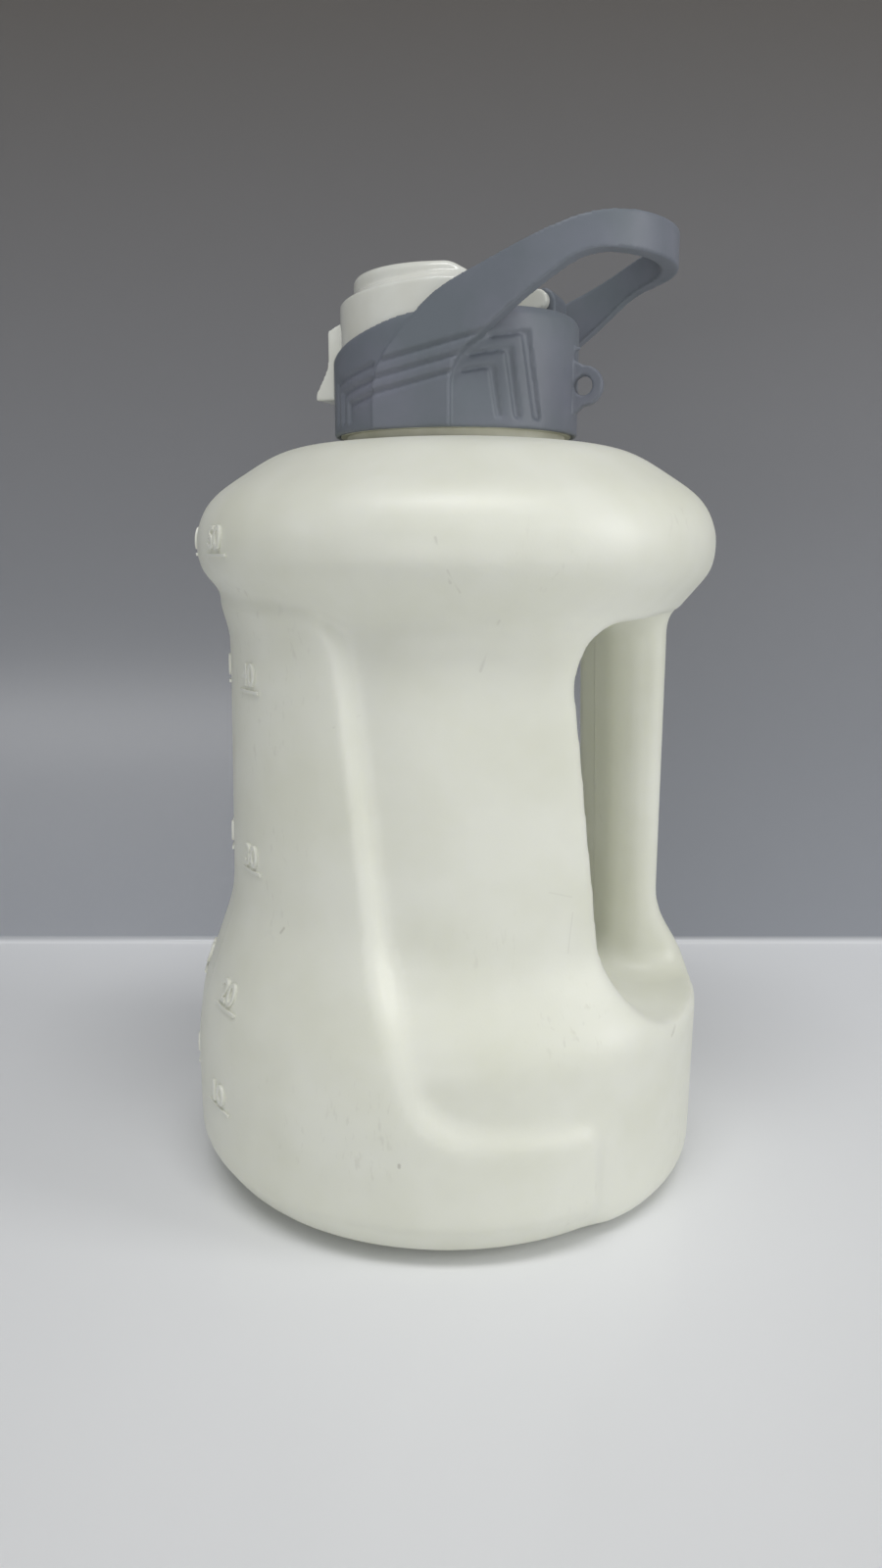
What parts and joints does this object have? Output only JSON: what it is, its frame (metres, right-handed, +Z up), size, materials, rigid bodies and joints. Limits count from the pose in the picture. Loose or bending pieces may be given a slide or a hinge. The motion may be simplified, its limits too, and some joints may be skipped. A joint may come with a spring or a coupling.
{
  "type": "sports water jug",
  "caption": "half-gallon plastic water jug with a moulded side handle, a raised front panel, a grey screw cap with a carrying strap and a glossy flip lid, shut",
  "frame": {"origin": "centre of the base's contact ring, on the jug's axis", "axes": "+Z up the jug's axis to the cap, +X from the axis to the handle, +Y to its left when seen from the front, so the raised front panel faces -X"},
  "size_m": [0.1272, 0.1272, 0.2208],
  "materials": {
    "jug_plastic": "satin, milky off-white",
    "cap_plastic": "satin, off-white",
    "sleeve_rubber": "satin blue-grey soft plastic",
    "lid_plastic": "glossy warm white"
  },
  "bodies": {
    "root": {"jug": "jug_plastic", "cap_base": "cap_plastic", "cap_sleeve": "sleeve_rubber", "flip_lid": "lid_plastic"}
  },
  "joints": []
}
